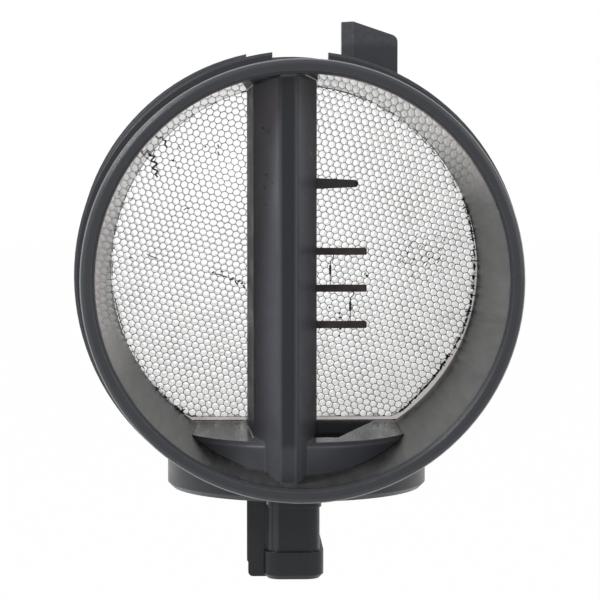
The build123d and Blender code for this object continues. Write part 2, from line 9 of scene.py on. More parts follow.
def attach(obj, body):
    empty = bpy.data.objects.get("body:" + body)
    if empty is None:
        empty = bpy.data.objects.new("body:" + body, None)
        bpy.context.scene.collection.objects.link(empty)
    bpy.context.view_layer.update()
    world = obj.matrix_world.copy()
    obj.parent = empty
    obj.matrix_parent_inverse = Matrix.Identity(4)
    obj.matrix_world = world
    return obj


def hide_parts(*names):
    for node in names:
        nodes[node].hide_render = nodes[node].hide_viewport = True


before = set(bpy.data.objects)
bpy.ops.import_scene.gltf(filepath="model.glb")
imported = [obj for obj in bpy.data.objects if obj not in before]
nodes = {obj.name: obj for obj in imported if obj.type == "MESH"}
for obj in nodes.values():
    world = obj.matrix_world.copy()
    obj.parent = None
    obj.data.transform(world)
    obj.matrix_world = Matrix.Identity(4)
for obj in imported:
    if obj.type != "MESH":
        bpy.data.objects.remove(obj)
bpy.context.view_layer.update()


MM = 0.001

# ---------------------------------------------------------------- camera
scene = bpy.context.scene
scene.view_settings.view_transform = "Standard"
IMAGE = 600.0                  # side of the picture in pixels
MIDDLE = IMAGE / 2
FOCAL_PX = 2244.0
SENSOR = 36.0
VANISH_PX = (231.0, 167.0)     # where lines along +Y meet
LIP_PX = (303.2, 282.5)        # centre of the outlet lip
LIP_SCALE = 208.5 / 40.0       # pixels per millimetre at the lip
yaw = math.atan((MIDDLE - VANISH_PX[0]) / FOCAL_PX)
pitch = math.atan((MIDDLE - VANISH_PX[1]) / FOCAL_PX * math.cos(yaw))
look = Vector((math.sin(yaw) * math.cos(pitch), math.cos(yaw) * math.cos(pitch),
               -math.sin(pitch)))
right = Vector((math.cos(yaw), -math.sin(yaw), 0.0))
up = right.cross(look)
lip_distance = FOCAL_PX / LIP_SCALE * MM
eye = -(right * ((LIP_PX[0] - MIDDLE) / FOCAL_PX * lip_distance)
        - up * ((LIP_PX[1] - MIDDLE) / FOCAL_PX * lip_distance) + look * lip_distance)
cam_data = bpy.data.cameras.new("camera")
cam_data.sensor_width = SENSOR
cam_data.lens = FOCAL_PX / IMAGE * SENSOR
cam_data.clip_start = 0.01
camera = bpy.data.objects.new("camera", cam_data)
scene.collection.objects.link(camera)
camera.matrix_world = Matrix((
    (right.x, up.x, -look.x, eye.x),
    (right.y, up.y, -look.y, eye.y),
    (right.z, up.z, -look.z, eye.z),
    (0, 0, 0, 1),
))
scene.camera = camera


# ---------------------------------------------------------------- node helpers
def new_material(name):
    mat = bpy.data.materials.new(name)
    mat.use_nodes = True
    tree = mat.node_tree
    tree.nodes.clear()
    out = tree.nodes.new("ShaderNodeOutputMaterial")
    bsdf = tree.nodes.new("ShaderNodeBsdfPrincipled")
    tree.links.new(bsdf.outputs["BSDF"], out.inputs["Surface"])
    return mat, tree, bsdf, out


def feed(tree, value, socket):
    """Links an output to the socket, or sets a constant on it."""
    if hasattr(value, "is_output"):
        tree.links.new(value, socket)
    else:
        socket.default_value = value


def math_node(tree, op, a, b=None, clamp=False):
    n = tree.nodes.new("ShaderNodeMath")
    n.operation = op
    n.use_clamp = clamp
    feed(tree, a, n.inputs[0])
    if b is not None:
        feed(tree, b, n.inputs[1])
    return n.outputs[0]


def product(tree, result, *factors):
    for factor in factors:
        result = math_node(tree, "MULTIPLY", result, factor)
    return result


def noise_node(tree, coords, scale, detail=3.0, rough=0.5, stretch=None):
    n = tree.nodes.new("ShaderNodeTexNoise")
    n.inputs["Scale"].default_value = scale
    n.inputs["Detail"].default_value = detail
    n.inputs["Roughness"].default_value = rough
    if stretch:
        m = tree.nodes.new("ShaderNodeMapping")
        m.inputs["Scale"].default_value = stretch
        tree.links.new(coords, m.inputs["Vector"])
        coords = m.outputs[0]
    tree.links.new(coords, n.inputs["Vector"])
    return n.outputs["Fac"]


def ramp(tree, value, low, high, to_low=0.0, to_high=1.0):
    """Goes from to_low to to_high while the value goes from low to high."""
    n = tree.nodes.new("ShaderNodeMapRange")
    n.clamp = True
    n.inputs["From Min"].default_value = low
    n.inputs["From Max"].default_value = high
    n.inputs["To Min"].default_value = to_low
    n.inputs["To Max"].default_value = to_high
    tree.links.new(value, n.inputs["Value"])
    return n.outputs[0]


def fade(tree, distance, start, end, to_low=0.0, to_high=1.0):
    """The same between two distances in millimetres."""
    return ramp(tree, distance, start * MM, end * MM, to_low, to_high)


def without(tree, mask):
    return ramp(tree, mask, 0.0, 1.0, 1.0, 0.0)


def mix(tree, kind, fac, a, b):
    n = tree.nodes.new("ShaderNodeMix")
    n.data_type = kind
    for name, value in (("Factor", fac), ("A", a), ("B", b)):
        feed(tree, value, n.inputs[name])
    return n.outputs["Result"]


def mix_color(tree, fac, a, b):
    return mix(tree, "RGBA", fac, a, b)


def rgb(r, g, b):
    return (r, g, b, 1.0)


def toned(color, factor):
    return rgb(*[c * factor for c in color])


def object_coords(tree):
    return tree.nodes.new("ShaderNodeTexCoord").outputs["Object"]


def surface_normal(tree):
    return tree.nodes.new("ShaderNodeNewGeometry").outputs["Normal"]


def axes_of(tree, vector):
    n = tree.nodes.new("ShaderNodeSeparateXYZ")
    tree.links.new(vector, n.inputs[0])
    return n.outputs[0], n.outputs[1], n.outputs[2]


def distance_to(tree, vector, place):
    n = tree.nodes.new("ShaderNodeVectorMath")
    n.operation = "DISTANCE"
    tree.links.new(vector, n.inputs[0])
    n.inputs[1].default_value = place
    return n.outputs["Value"]


def bevel_node(tree, radius, samples):
    """Normals as if the edges were rounded."""
    n = tree.nodes.new("ShaderNodeBevel")
    n.samples = samples
    feed(tree, radius, n.inputs["Radius"])
    return n.outputs[0]


def bump_node(tree, height, strength, depth):
    n = tree.nodes.new("ShaderNodeBump")
    feed(tree, strength, n.inputs["Strength"])
    n.inputs["Distance"].default_value = depth
    tree.links.new(height, n.inputs["Height"])
    return n


def edge_mask(tree, radius):
    """1 on edges, 0 on flat or gently curved faces."""
    dot = tree.nodes.new("ShaderNodeVectorMath")
    dot.operation = "DOT_PRODUCT"
    tree.links.new(bevel_node(tree, radius, 4), dot.inputs[0])
    tree.links.new(surface_normal(tree), dot.inputs[1])
    return ramp(tree, dot.outputs["Value"], 0.995, 0.93)


# ---------------------------------------------------------------- moulded plastic
GRAIN = 0.10                   # strength of the moulded grain
GRAIN_DEPTH = 0.03 * MM
SCUFF = 0.5                    # how far rubbed edges show the worn colour
SCUFF_WIDTH = 0.25 * MM
EDGE_ROUND = 0.3               # rounding of the edges, in millimetres


def moulded_plastic(name, base, worn, rough, gloss, wear_and_light=None):
    """Fine grain, slow colour drift, worn specks and rubbed edges.

    The last argument is a function that adds the dust, the worn places and the painted light of one
    piece.
    """
    mat, tree, bsdf, _ = new_material(name)
    coords = object_coords(tree)
    drift = noise_node(tree, coords, 60.0, 4.0, 0.6)
    grains = noise_node(tree, coords, 5200.0, 2.0, 0.6)
    specks = noise_node(tree, coords, 900.0, 3.0, 0.7)
    streak = noise_node(tree, coords, 260.0, 3.0, 0.6, stretch=(1.0, 0.12, 1.0))
    shade = mix_color(tree, ramp(tree, drift, 0.3, 0.7), toned(base, 0.88), toned(base, 1.12))
    shade = mix_color(tree, ramp(tree, specks, 0.66, 0.78, 0.0, 0.35), shade, rgb(*worn))
    rubbed = product(tree, edge_mask(tree, SCUFF_WIDTH), ramp(tree, specks, 0.35, 0.65), SCUFF)
    skin = SimpleNamespace(
        tree=tree, bsdf=bsdf, coords=coords, specks=specks, streak=streak,
        shade=mix_color(tree, rubbed, shade, rgb(*worn)),
        roughness=ramp(tree, streak, 0.3, 0.7, rough - 0.05, rough + 0.07),
        grain=GRAIN, rounding=EDGE_ROUND * MM)
    if wear_and_light:
        wear_and_light(skin)
    bump = bump_node(tree, grains, skin.grain, GRAIN_DEPTH)
    tree.links.new(bevel_node(tree, skin.rounding, 6), bump.inputs["Normal"])
    tree.links.new(skin.shade, bsdf.inputs["Base Color"])
    tree.links.new(skin.roughness, bsdf.inputs["Roughness"])
    tree.links.new(bump.outputs[0], bsdf.inputs["Normal"])
    bsdf.inputs["Specular IOR Level"].default_value = gloss
    return mat


def paint(skin, mask, color):
    """Lays a colour over the plastic where the mask is 1."""
    skin.shade = mix_color(skin.tree, mask, skin.shade, color)


# Painted highlights on the upright corners of the connector's shell: left and right side in
# millimetres, and how pale.
CONNECTOR_HIGHLIGHTS = ((-6.3, -5.7, 0.55), (-5.1, -4.2, 0.38), (4.0, 4.6, 0.25))
CONNECTOR_TOP_Z = (-46.8, -47.2)
CONNECTOR_RIM_Z = -57.8        # top of the connector's rim
# place of a painted highlight: a small bright spot at the latch's foot
LATCH_HIGHLIGHT_SPOT = (-0.00644, 0.0343, -0.0476)     # metres


def connector_painted_highlights(skin):
    """Painted highlights on the upright corners of the shell, and a small bright spot painted at
    the latch's foot.
    """
    tree = skin.tree
    x, _, z = axes_of(tree, skin.coords)
    shell = product(tree, fade(tree, z, *CONNECTOR_TOP_Z),
                    fade(tree, z, CONNECTOR_RIM_Z, CONNECTOR_RIM_Z + 0.3))
    for left_x, right_x, share in CONNECTOR_HIGHLIGHTS:
        highlight_strip = product(tree, fade(tree, x, left_x - 0.3, left_x + 0.1),
                        fade(tree, x, right_x + 0.3, right_x - 0.1), shell,
                        ramp(tree, skin.streak, 0.2, 0.8, share * 0.6, share))
        # painted highlight along this corner
        paint(skin, highlight_strip, rgb(0.10, 0.108, 0.108))
    # a painted highlight: a small bright spot at the latch's foot
    highlight_spot = fade(tree, distance_to(tree, skin.coords, LATCH_HIGHLIGHT_SPOT), 0.65, 0.3)
    paint(skin, highlight_spot, rgb(0.34, 0.38, 0.38))


# Places on the tube, in millimetres. A pair is where a mask starts and where it is full.
BORE_RADIUS = (40.3, 40.2)     # within the bore's wall
WALL_RADIUS = (39.8, 39.9)     # the wall itself
INNER_RADIUS = (39.8, 39.6)    # inside the bore and clear of its wall
BEHIND_LIP = (0.0, 4.0)
STRUT_FRONT = (4.0, 6.0)
STRUT_X = -2.5                 # middle of the strut's root
STRUT_ROOT = (7.6, 8.6)        # half its width there
BOX_SLOPE_Z = (-32.5, -33.5)   # under the top of the box's hump
SHEET_JOINT = (57.9, 58.6)     # just before the honeycomb
TOP_SIDE = (4.0, -15.0)        # the wall's upper left
ABOVE_TUBE = (46.3, 47.5)
HOSE_LAND_END = (18.0, 16.5)
DUST = (0.066, 0.062, 0.061)


def tube_dust_and_painted_light(skin):
    """Dust, polish and rubbed places of the tube, its lip, its strut and its box, and the painted
    light, shade and highlights laid on them.
    """
    tree = skin.tree
    x, y, z = axes_of(tree, skin.coords)
    _, normal_y, normal_z = axes_of(tree, surface_normal(tree))
    radius = math_node(tree, "SQRT", math_node(
        tree, "ADD", math_node(tree, "POWER", x, 2.0), math_node(tree, "POWER", z, 2.0)))
    in_bore = product(tree, fade(tree, radius, *BORE_RADIUS), fade(tree, y, *BEHIND_LIP))
    on_wall = product(tree, in_bore, fade(tree, radius, *WALL_RADIUS))
    inner = fade(tree, radius, *INNER_RADIUS)
    facing = math_node(tree, "ABSOLUTE", normal_y)
    upward = ramp(tree, normal_z, 0.8, 0.95)

    # a dust film where the air runs along the surface; on the strut's flanks and on upward faces
    # inside the bore it is painted light as well
    dust_and_light_film = product(tree, in_bore, ramp(tree, facing, 0.75, 0.25),
                   ramp(tree, skin.streak, 0.25, 0.75, 0.7, 1.0))
    runs = noise_node(tree, skin.coords, 620.0, 3.0, 0.6, stretch=(1.0, 0.07, 1.0))
    wall_film = mix_color(tree, ramp(tree, runs, 0.35, 0.65), toned(DUST, 0.55), toned(DUST, 1.45))
    # painted light: the strut's flanks are paler, more so towards the top
    flank_painted_light = mix_color(tree, fade(tree, z, 4.0, 34.0),
                           rgb(0.125, 0.126, 0.152), rgb(0.215, 0.218, 0.262))
    dust_and_light_shade = mix_color(tree, inner, wall_film, flank_painted_light)
    # painted light: upward faces inside the bore are paler
    dust_and_light_shade = mix_color(tree, product(tree, upward, inner), dust_and_light_shade, rgb(0.25, 0.262, 0.26))
    paint(skin, dust_and_light_film, dust_and_light_shade)
    # the box's slope into the bore is painted paler: painted light
    slope_painted_light = product(tree, in_bore, inner, fade(tree, z, *BOX_SLOPE_Z), fade(tree, y, 10.0, 16.0),
                    ramp(tree, upward, 0.0, 1.0, 0.8, 0.0))
    paint(skin, slope_painted_light, rgb(0.11, 0.115, 0.13))

    # the strut's nose is painted dark: painted shade
    nose_painted_shade = product(tree, fade(tree, radius, 40.0, 39.2), fade(tree, y, 5.0, 6.0),
                   fade(tree, z, -33.5, -32.0), ramp(tree, facing, 0.85, 0.97))
    paint(skin, nose_painted_shade, rgb(0.003, 0.004, 0.008))
    # its ridges are painted paler: a painted highlight
    ridge_highlight = math_node(tree, "MULTIPLY", edge_mask(tree, 0.7 * MM), 2.5, clamp=True)
    ridge_highlight = product(tree, ridge_highlight, inner, fade(tree, y, *STRUT_FRONT), fade(tree, y, 30.0, 26.0),
                    fade(tree, x, -6.0, 2.0, 0.5, 1.0))
    paint(skin, ridge_highlight, rgb(0.16, 0.168, 0.195))

    # the upper left of the wall is painted paler and warmer, more so towards the top, as painted
    # light for the cells it mirrors, but not where the strut meets it
    side = math_node(tree, "SUBTRACT", product(tree, x, 0.5), z)
    top_side = fade(tree, side, *TOP_SIDE)
    from_strut = math_node(tree, "ABSOLUTE", math_node(tree, "ADD", x, -STRUT_X * MM))
    top_painted_reflection = product(tree, on_wall, top_side, fade(tree, z, 0.0, 30.0, 0.55, 0.95),
                       fade(tree, from_strut, *STRUT_ROOT))
    paint(skin, top_painted_reflection, rgb(0.46, 0.355, 0.305))
    # a dark line painted as shade in the gap between that wall and the honeycomb
    gap_shade_line = product(tree, on_wall, fade(tree, y, *SHEET_JOINT), fade(tree, side, 4.0, -10.0))
    paint(skin, gap_shade_line, rgb(0.012, 0.012, 0.013))
    # the wall is smooth enough there to mirror the cells
    gloss_film = product(tree, top_side, fade(tree, z, 6.0, 34.0, 0.24, 0.82), on_wall,
                         without(tree, gap_shade_line))
    tree.links.new(gloss_film, skin.bsdf.inputs["Coat Weight"])
    skin.bsdf.inputs["Coat Roughness"].default_value = 0.03

    # what stands above the tube has gathered dust
    above = product(tree, fade(tree, z, *ABOVE_TUBE), ramp(tree, skin.specks, 0.3, 0.7, 0.12, 0.42))
    paint(skin, above, rgb(0.085, 0.088, 0.100))
    # the lip and the hose's land are free of scuffs; two rings round the lip's outer edge are
    # painted paler, as a painted highlight and painted light
    before_land_end = fade(tree, y, *HOSE_LAND_END)
    land = product(tree, fade(tree, radius, 41.9, 42.2), before_land_end)
    paint(skin, product(tree, land, 0.85), rgb(0.040, 0.042, 0.048))
    # inner ring: painted highlight; outer ring: painted light on a shaded band
    for start, end, share, color in (
            ((42.5, 42.7), (43.2, 43.1), 0.75, rgb(0.15, 0.152, 0.16)),
            ((43.2, 43.4), (44.3, 44.2), 0.7, rgb(0.10, 0.101, 0.108))):
        ring = product(tree, fade(tree, radius, *start), fade(tree, radius, *end),
                       before_land_end, share)
        paint(skin, ring, color)

    # the land, the wall and the nearly flat ledge beside the strut are smoother
    ledge = product(tree, in_bore, inner, upward)
    wall_rough = math_node(tree, "MAXIMUM", ramp(tree, side, -0.015, 0.004, 0.26, 0.30), gap_shade_line)
    roughness = mix(tree, "FLOAT", land, skin.roughness, 0.20)
    roughness = mix(tree, "FLOAT", on_wall, roughness, wall_rough)
    skin.roughness = math_node(tree, "SUBTRACT", roughness, product(tree, ledge, 0.065))
    calm = math_node(tree, "MAXIMUM", land, ledge)
    skin.grain = ramp(tree, calm, 0.0, 1.0, GRAIN, GRAIN * 0.35)
    # the outlet lip and the strut are rounded more than other edges
    lip = product(tree, fade(tree, y, 3.0, 2.0), fade(tree, radius, 40.5, 41.2))
    strut = product(tree, fade(tree, radius, 39.0, 38.5), fade(tree, y, *STRUT_FRONT))
    skin.rounding = math_node(tree, "ADD", ramp(tree, lip, 0.0, 1.0, EDGE_ROUND * MM, 1.1 * MM),
                              product(tree, strut, 0.5 * MM))


# ---------------------------------------------------------------- other materials
def metal(name, base, tarnish, rough=0.3, grain_scale=3000.0):
    """Metal with patches of tarnish and a fine grain."""
    mat, tree, bsdf, _ = new_material(name)
    coords = object_coords(tree)
    bsdf.inputs["Metallic"].default_value = 1.0
    drift = noise_node(tree, coords, 220.0, 4.0, 0.6)
    grains = noise_node(tree, coords, grain_scale, 2.0, 0.5)
    shade = mix_color(tree, ramp(tree, drift, 0.4, 0.7, 0.0, 0.5), rgb(*base), rgb(*tarnish))
    tree.links.new(shade, bsdf.inputs["Base Color"])
    tree.links.new(ramp(tree, drift, 0.3, 0.7, rough - 0.06, rough + 0.1),
                   bsdf.inputs["Roughness"])
    bump = bump_node(tree, grains, 0.12, 0.01 * MM)
    tree.links.new(bump.outputs[0], bsdf.inputs["Normal"])
    return mat


def coated(name, base, other, rough=0.35, scale=400.0):
    """Resin, ceramic, laminate or rubber: a mottled dielectric."""
    mat, tree, bsdf, _ = new_material(name)
    coords = object_coords(tree)
    drift = noise_node(tree, coords, scale, 4.0, 0.6)
    fine = noise_node(tree, coords, scale * 9.0, 2.0, 0.5)
    shade = mix_color(tree, ramp(tree, drift, 0.35, 0.7), rgb(*base), rgb(*other))
    tree.links.new(shade, bsdf.inputs["Base Color"])
    tree.links.new(ramp(tree, drift, 0.3, 0.7, rough - 0.06, rough + 0.08),
                   bsdf.inputs["Roughness"])
    bump = bump_node(tree, fine, 0.2, 0.02 * MM)
    tree.links.new(bump.outputs[0], bsdf.inputs["Normal"])
    return mat


HOUSING_BLACK = (0.020, 0.022, 0.027)
HOUSING_WORN = (0.13, 0.135, 0.145)
housing = moulded_plastic("housing_plastic", HOUSING_BLACK, HOUSING_WORN, 0.32, 0.4, tube_dust_and_painted_light)
cover = moulded_plastic("cover_plastic", (0.009, 0.0115, 0.013), (0.09, 0.095, 0.10), 0.32, 0.30,
                        connector_painted_highlights)
carrier = moulded_plastic("carrier_plastic", HOUSING_BLACK, HOUSING_WORN, 0.30, 0.4)
foil = metal("honeycomb_foil", (0.44, 0.445, 0.43), (0.36, 0.36, 0.35), 0.13, 2600.0)
foil_edge = coated("honeycomb_cut_edge", (0.045, 0.043, 0.043), (0.10, 0.097, 0.095), 0.5, 900.0)
foil_dark_sliver = coated("honeycomb_dark_sliver", (0.012, 0.012, 0.014), (0.05, 0.05, 0.05), 0.6, 1500.0)
foil_rim = metal("honeycomb_rim", (0.47, 0.445, 0.445), (0.42, 0.40, 0.40), 0.17, 1800.0)
# pale slivers along the seams: a painted highlight
seam_highlight = coated("seam_painted_highlight", (0.80, 0.79, 0.77), (0.66, 0.65, 0.64), 0.35, 900.0)
spring = metal("ring_steel", (0.90, 0.90, 0.88), (0.80, 0.79, 0.76), 0.16)
rubber = coated("seal_rubber", (0.018, 0.018, 0.019), (0.035, 0.035, 0.036), 0.6, 500.0)
leads = metal("lead_metal", (0.060, 0.048, 0.050), (0.030, 0.026, 0.027), 0.40)
probe = coated("probe_resin", (0.022, 0.018, 0.019), (0.04, 0.034, 0.035), 0.4, 600.0)
bobbin = coated("element_glass", (0.03, 0.028, 0.03), (0.06, 0.055, 0.055), 0.25, 1500.0)
board = coated("board_laminate", (0.02, 0.12, 0.05), (0.03, 0.16, 0.07), 0.3, 350.0)
chip = coated("chip_epoxy", (0.018, 0.018, 0.019), (0.03, 0.03, 0.031), 0.5, 800.0)
steel = metal("screw_zinc", (0.62, 0.62, 0.60), (0.42, 0.41, 0.36), 0.35)
tin = metal("terminal_tin", (0.70, 0.69, 0.66), (0.52, 0.50, 0.46), 0.3)
ceramic = coated("ceramic", (0.60, 0.56, 0.48), (0.68, 0.64, 0.56), 0.35, 700.0)

nodes_of = {
    housing: ("flow_tube",),
    carrier: ("sensor_carrier",),
    cover: ("electronics_cover",),
    foil: ("flow_straightener",),
    spring: ("straightener_ring",),
    rubber: ("inlet_seal", "foot_seal", "cover_seal"),
    leads: ("probe_lead_1", "probe_lead_2", "upper_post", "middle_post", "lower_post"),
    probe: ("air_temperature_probe",),
    bobbin: ("hot_element", "cold_element"),
    board: ("circuit_board",),
    steel: ("board_screws",),
    chip: ("signal_processor", "voltage_regulator", "power_transistor"),
    ceramic: ("trim_resistor", "filter_capacitor_1", "filter_capacitor_2", "filter_capacitor_3"),
    tin: ("terminal_1", "terminal_2", "terminal_3", "terminal_4", "terminal_5"),
}
for material, names in nodes_of.items():
    for name in names:
        slots = nodes[name].data.materials
        if not slots:
            slots.append(material)
        for i in range(len(slots)):
            slots[i] = material


# ---------------------------------------------------------------- pieces
def make_piece(name, verts, faces, materials, node=None, mats=None, smooth=False):
    """A new piece on the root body; node is the CAD node that it stands for."""
    mesh = bpy.data.meshes.new(name)
    mesh.from_pydata(verts, [], faces)
    for material in materials:
        mesh.materials.append(material)
    if mats:
        mesh.polygons.foreach_set("material_index", mats)
    if smooth:
        mesh.polygons.foreach_set("use_smooth", [True] * len(faces))
    mesh.validate()
    mesh.update()
    obj = bpy.data.objects.new(name, mesh)
    scene.collection.objects.link(obj)
    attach(obj, "root")
    if node:
        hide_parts(node)


def add_box(verts, faces, corners, sides=(0, 1, 2, 3)):
    """Adds a box: its four front corners and the four behind them, in millimetres."""
    base = len(verts)
    verts += [(x * MM, y * MM, z * MM) for x, y, z in corners]
    faces += [(base, base + 1, base + 2, base + 3), (base + 7, base + 6, base + 5, base + 4)]
    for k in sides:
        nxt = (k + 1) % 4
        faces.append((base + k, base + 4 + k, base + 4 + nxt, base + nxt))


def bar_faces(base, sections, sides):
    """Faces of a closed bar whose sections follow one another from vertex base on."""
    faces = []
    for k in range(sections - 1):
        start = base + k * sides
        for m in range(sides):
            a, b = start + m, start + (m + 1) % sides
            faces.append((a, b, b + sides, a + sides))
    last = base + (sections - 1) * sides
    faces.append(tuple(base + m for m in reversed(range(sides))))
    faces.append(tuple(last + m for m in range(sides)))
    return faces


# ---------------------------------------------------------------- honeycomb with its real cells
# Millimetres in the sheet's plane: a point's y is the part's z.
SEAT_Y = 60.0                  # where the sheet's face lies along the tube
DEPTH = 10.0
BAND_R = 40.5                  # outline of the straightener
FLOOR_Z = -33.2
SHEET_FLOOR_Z = -32.5          # the sheet's lower edge
OPEN_R = 40.0                  # where the sheet's round edge would be with no gap
WALL = 0.12
CORNER = 0.10                  # how far the cells' corners are cut
CELL_A = Vector((1.117, 1.040))      # from one cell to two of its neighbours
CELL_B = Vector((1.478, -0.387))
CELL_SPAN = 60                 # cells looked at each way from the middle
FIELD_R = 42.5                 # cells with their middle outside this are left out
FLOOR_MARGIN = 2.0             # and so are those with their middle this far under the sheet
LEAST_CELL = 0.12              # smallest cut cell, in square millimetres
LEAST_HOLE = 0.05
WOBBLE = ((0.09, 3.1, 0.35), (0.75, 9.7, 0.13))    # rate, place in the noise and size
SEED = 71                      # without it the noise would differ from run to run
FACE_SCALE = 4.575             # pixels per millimetre at the sheet's face
FACE_PX = (294.4, 268.5)       # where the bore's axis meets it in the picture
HIDDEN = -0.42                 # the sheet runs on behind the tube's shoulder
# The sheet is cut unevenly: width of the band outside it by angle, in degrees and millimetres.
BAND_GAPS = [(-180, HIDDEN), (-146, HIDDEN), (-138, 0.1), (-124, 0.2), (-114, 0.1), (-100, HIDDEN),
             (-75, 0.3), (-57, 0.85), (-45, 1.1), (-33, 1.0), (-20, 0.55), (-4, 0.45), (8, 0.35),
             (18, 0.1), (26, HIDDEN), (180, HIDDEN)]


def to_mm(px, py):
    """Point of the sheet's face at a place in the picture."""
    return Vector(((px - FACE_PX[0]) / FACE_SCALE, (FACE_PX[1] - py) / FACE_SCALE))


def wobble(p):
    """Slow and quick distortion of the drawn foil."""
    slow, quick = (noise.noise_vector(Vector((p.x * rate, p.y * rate, place)))
                   for rate, place, _ in WOBBLE)
    slow_size, quick_size = (size for _, _, size in WOBBLE)
    return Vector((slow.x * slow_size + quick.x * quick_size,
                   slow.y * slow_size + quick.y * quick_size))


def angle_of(p):
    return math.degrees(math.atan2(p.y, p.x))


def cut_radius(p):
    """Radius of the sheet's cut edge in the direction of p."""
    angle = angle_of(p)
    for (a0, g0), (a1, g1) in zip(BAND_GAPS, BAND_GAPS[1:]):
        if angle <= a1:
            return OPEN_R - g0 - (g1 - g0) * (angle - a0) / (a1 - a0)
    return OPEN_R


def inside_cut(p):
    return p.length < cut_radius(p) and p.y > SHEET_FLOOR_Z


def crossing(inner_point, outer_point):
    """Where the line from one point to the other leaves the sheet."""
    low, high = 0.0, 1.0
    for _ in range(18):
        t = (low + high) / 2
        if inside_cut(inner_point.lerp(outer_point, t)):
            low = t
        else:
            high = t
    return inner_point.lerp(outer_point, low)


def trimmed(poly):
    """The polygon inside the sheet's edge, and the sides of it that lie on that edge."""
    out, cut = [], []
    for k, p in enumerate(poly):
        nxt = poly[(k + 1) % len(poly)]
        here, there = inside_cut(p), inside_cut(nxt)
        if here:
            out.append(p)
        if here and not there:
            out.append(crossing(p, nxt))
            cut.append(len(out) - 1)
        elif there and not here:
            out.append(crossing(nxt, p))
    return out, cut


def inset(poly, distance):
    """A convex polygon with its sides moved inwards."""
    result = list(poly)
    for k, p in enumerate(poly):
        side = poly[(k + 1) % len(poly)] - p
        if side.length < 1e-6:
            continue
        normal = Vector((-side.y, side.x)).normalized()
        clipped = []
        for m, q in enumerate(result):
            q2 = result[(m + 1) % len(result)]
            d1 = (q - p).dot(normal) - distance
            d2 = (q2 - p).dot(normal) - distance
            if d1 >= 0:
                clipped.append(q)
            if (d1 >= 0) != (d2 >= 0):
                clipped.append(q.lerp(q2, d1 / (d1 - d2)))
        result = clipped
        if len(result) < 3:
            return []
    return result


def cut_corners(poly, share):
    out = []
    for k, p in enumerate(poly):
        before, after = poly[k - 1], poly[(k + 1) % len(poly)]
        out += [p.lerp(before, share), p.lerp(after, share)]
    return out


def area_of(poly):
    """Area of a polygon, below zero where it runs clockwise."""
    return sum(p.cross(poly[(k + 1) % len(poly)]) for k, p in enumerate(poly)) / 2


def too_small(poly, least):
    return len(poly) < 3 or area_of(poly) < least


def cell_outlines():
    """Every cell's polygon inside the sheet's edge, with its sides on that edge."""
    steps = [CELL_A, CELL_B, CELL_B - CELL_A]
    steps += [-step for step in steps]
    offsets = [(steps[k] + steps[(k + 1) % 6]) / 3.0 for k in range(6)]
    for i in range(-CELL_SPAN, CELL_SPAN + 1):
        for j in range(-CELL_SPAN, CELL_SPAN + 1):
            middle = CELL_A * i + CELL_B * j
            if middle.length > FIELD_R or middle.y < SHEET_FLOOR_Z - FLOOR_MARGIN:
                continue
            # the noise is read at a rounded place, so that neighbours agree on a shared corner
            corners = [middle + offset for offset in offsets]
            corners = [p + wobble(Vector((round(p.x, 3), round(p.y, 3)))) for p in corners]
            if area_of(corners) < 0:
                corners.reverse()
            outer, cut = trimmed(corners)
            if not too_small(outer, LEAST_CELL):
                yield outer, cut


noise.seed_set(SEED)
verts, faces, mats = [], [], []
boundary = []                  # sides of cells along the sheet's cut edge
for outer, cut in cell_outlines():
    inner = inset(outer, WALL / 2)
    inner = [] if too_small(inner, LEAST_HOLE) else cut_corners(inner, CORNER)
    boundary += [(outer[k], outer[(k + 1) % len(outer)]) for k in cut]
    loops = [[Vector((p.x, p.y, 0)) for p in loop] for loop in (outer, inner) if loop]
    points = outer + inner
    start, count = len(verts), len(points)
    for y in (SEAT_Y, SEAT_Y + DEPTH):
        verts += [(p.x * MM, y * MM, p.y * MM) for p in points]
    for tri in geometry.tessellate_polygon(loops):
        p, q, w = (points[t] for t in tri)
        if (q - p).cross(w - p) < 0:
            tri = (tri[0], tri[2], tri[1])
        faces.append(tuple(start + t for t in tri))
        faces.append(tuple(start + count + t for t in reversed(tri)))
        mats += [1, 1]
    for k in range(len(inner)):
        a = start + len(outer) + k
        b = start + len(outer) + (k + 1) % len(inner)
        faces.append((a, b, b + count, a + count))
        mats.append(0)
    for k in cut:
        a, b = start + k, start + (k + 1) % len(outer)
        faces.append((b, a, a + count, b + count))
        mats.append(0)
make_piece("honeycomb_cells", verts, faces, [foil, foil_edge],
           "flow_straightener", mats)

# ---------------------------------------------------------------- pale band round the honeycomb
FLOOR_HALF = math.sqrt(BAND_R ** 2 - FLOOR_Z ** 2)     # half the width of the outline's floor
BAND_LEAN = 0.17               # the band leans in towards the sheet
BAND_SINK = 0.05               # how far it lies behind the sheet's faces
STRIP_BACK = 1.2               # how deep the two closing strips reach
STRIP_HALF = 21.5              # half the length of the lower one
STRIP_TOP = (SHEET_FLOOR_Z - 0.02, SEAT_Y + 0.20)      # height and depth of its upper edge
STRIP_LOW = (FLOOR_Z + 0.01, SEAT_Y + 0.09)            # and of its lower edge
ARC_ANGLES = range(-55, 27, 3)       # degrees
ARC_SINK = 0.15


def outline_hit(p):
    """Point of the straightener's outline outwards from p."""
    d = p.normalized()
    if d.y * BAND_R < FLOOR_Z and abs(p.x) < FLOOR_HALF:
        return Vector((p.x, FLOOR_Z))
    return d * BAND_R


def band_corners(edge_a, edge_b, front, back):
    """Corners of the stretch of band outside two points of the sheet's edge."""
    out_a, out_b = outline_hit(edge_a), outline_hit(edge_b)
    gap_a, gap_b = (out_a - edge_a).length, (out_b - edge_b).length
    ring = ((edge_a, gap_a), (edge_b, gap_b), (out_b, 0.0), (out_a, 0.0))
    return ([(p.x, front + BAND_LEAN * gap, p.y) for p, gap in ring]
            + [(p.x, back, p.y) for p, _ in ring])


